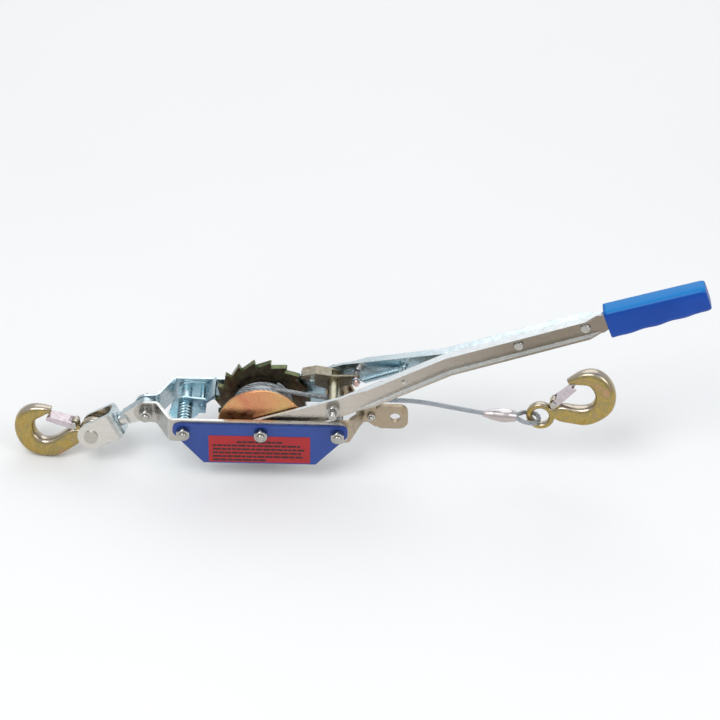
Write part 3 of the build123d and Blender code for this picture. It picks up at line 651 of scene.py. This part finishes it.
# ---------------------------------------------------------------- grip
def grip():
    """A vinyl sleeve: boxy and open at its inner end, rounder and closed at its outer end."""
    along = box_middle("handle_rivets") - DRUM
    along = Vector((along.x, 0, along.z)).normalized()
    lift = along.cross(DEPTH)
    s_low, s_high = reach("handle_grip", along)
    t_low, t_high = reach("handle_grip", lift)
    half_y = reach("handle_grip", DEPTH)[1]
    half_t = (t_high - t_low) / 2
    sides = 48
    long = s_high - s_low

    def ring(share, scale=1.0, inset=0.0):
        """One outline of the sleeve; share runs from the inner end to the outer end.

        The power of the superellipse falls outward, so the corners open from boxy to round.
        The wave along the underside is the row of finger dips.
        """
        power = 5.2 - 1.4 * share
        wide = half_y * (1.0 + 0.03 * share) * scale - inset
        tall = half_t * (1.16 - 0.17 * share) * scale - inset
        fade = math.sin(math.pi * share) ** 0.5
        wave = 0.9 * MM * math.sin(2 * math.pi * (share * 3.6 + 0.1)) * fade
        out = []
        for k in range(sides):
            angle = 2 * math.pi * k / sides
            c, s = math.cos(angle), math.sin(angle)
            y = wide * math.copysign(abs(c) ** (2 / power), c)
            t = tall * math.copysign(abs(s) ** (2 / power), s) - 0.6 * MM
            if s < 0:
                t += wave * (-s) ** 2 * scale
            out.append((y, t))
        return out

    rows = []
    wall = 2.2 * MM
    lip, shoulder, rounding = 0.015, 0.945, 0.13
    for depth in (26, 20, 12, 5, 1.2):
        rows.append((depth * MM, ring(depth * MM / long, inset=wall)))
    rows.append((0.1 * MM, ring(0, inset=wall * 0.75)))
    rows.append((0, ring(0, inset=wall * 0.4)))
    rows.append((0.5 * MM, ring(0, inset=0.15 * MM)))
    for i in range(1, 44):
        share = lip + (shoulder - lip) * i / 43
        rows.append((share * long, ring(share)))
    for i in range(1, 9):
        angle = math.pi / 2 * i / 8
        share = shoulder + (1 - shoulder) * math.sin(angle)
        rows.append((share * long, ring(share, scale=1 - rounding * (1 - math.cos(angle)))))
    vertices = []
    for s, outline in rows:
        for y, t in outline:
            vertices.append(DRUM + along * (s_low + s) + DEPTH * y + lift * t)
    faces = ring_quads(len(rows), sides)
    last = (len(rows) - 1) * sides
    vertices.append(DRUM + along * (s_high + 0.4 * MM))
    for k in range(sides):
        faces.append((last + k, last + (k + 1) % sides, len(vertices) - 1))
    piece = add_piece("grip_sleeve", vertices, faces, "vinyl")
    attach(piece, "handle")
    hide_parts("handle_grip")


# ---------------------------------------------------------------- label lines
def label_lines():
    """Plain printed bars in rows, standing a hair off the film; they spell nothing."""
    low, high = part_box("cover_label")
    face_y = low[1] - 0.05 * MM
    left, right = low[0] + 4 * MM, high[0] - 4 * MM
    rows = ((24, 24), (0, 2), (0, 0), (0, 5), (0, 1), (0, 38))
    pitch = 4.7 * MM
    shortest, longest, gap = 3.0, 9.0, 0.8
    clear_of_nut = 9.5 * MM
    vertices, faces = [], []
    for row, (indent, outdent) in enumerate(rows):
        is_heading = row == 0
        tall = (2.6 if is_heading else 2.5) * MM
        z = high[2] - 9.0 * MM - row * pitch
        x = left + indent * MM
        stop = right - outdent * MM
        while x < stop - shortest * MM:
            wide = min(RNG.uniform(shortest, longest) * MM, stop - x)
            corners = ((x, z), (x + wide, z), (x + wide, z + tall), (x, z + tall))
            if min(math.hypot(px - DRUM.x, pz - DRUM.z) for px, pz in corners) > clear_of_nut:
                n = len(vertices)
                vertices += [(px, face_y, pz) for px, pz in corners]
                vertices += [(px, face_y + 0.04 * MM, pz) for px, pz in corners]
                faces.append((n, n + 1, n + 2, n + 3))
                faces.append((n + 7, n + 6, n + 5, n + 4))
                for k in range(4):
                    m = (k + 1) % 4
                    faces.append((n + k, n + k + 4, n + m + 4, n + m))
            x += wide + gap * MM
    piece = add_piece("label_bars", vertices, faces, "ink", smooth=False)
    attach(piece, "frame")


# ---------------------------------------------------------------- studio
def studio():
    floor_z = CAD_BOX[0][2] - 0.5 * MM
    bpy.ops.mesh.primitive_grid_add(
        x_subdivisions=2, y_subdivisions=2, size=12, location=(0, 0, floor_z)
    )
    floor = bpy.context.object
    floor.name = "floor"
    floor.data.materials.append(pale_floor("pale_floor"))
    world = bpy.data.worlds.new("studio")
    bpy.context.scene.world = world
    world.use_nodes = True
    sky = world.node_tree.nodes["Background"]
    sky.inputs["Color"].default_value = (0.94, 0.97, 1.0, 1)
    sky.inputs["Strength"].default_value = 0.62
    lamps = (
        ("key", (-0.85, -1.1, 2.0), 1.3, 21),
        ("fill", (1.35, -0.9, 1.2), 1.0, 7),
        ("back", (0.05, 2.0, 1.5), 2.2, 13),
    )
    for name, place, size, power in lamps:
        data = bpy.data.lights.new(name, "AREA")
        data.shape = "DISK"
        data.size = size
        data.energy = power
        lamp = bpy.data.objects.new(name, data)
        lamp.location = place
        aim = Vector((-0.03, 0, 0)) - Vector(place)
        lamp.rotation_euler = aim.to_track_quat("-Z", "Y").to_euler()
        bpy.context.scene.collection.objects.link(lamp)


def camera():
    """Level with the puller's length, looking down 39 degrees through a long lens."""
    tilt = math.radians(39)
    roll = math.radians(1.25)
    distance = 2.7
    target = Vector((-0.0363, 0.031, 0.0464))
    place = target + Vector((0, -math.cos(tilt), math.sin(tilt))) * distance
    data = bpy.data.cameras.new("camera")
    data.lens = 135
    data.clip_end = 50
    eye = bpy.data.objects.new("camera", data)
    eye.location = place
    aim = (target - place).to_track_quat("-Z", "Y")
    eye.rotation_euler = (aim @ Quaternion((0, 0, 1), roll)).to_euler()
    bpy.context.scene.collection.objects.link(eye)
    bpy.context.scene.camera = eye


dress_frame()
light_teeth()
wound_rope()
leaving_rope()
loop_rope()
drive_spring()
grip()
label_lines()
studio()
camera()
bpy.context.scene.view_settings.view_transform = "Standard"
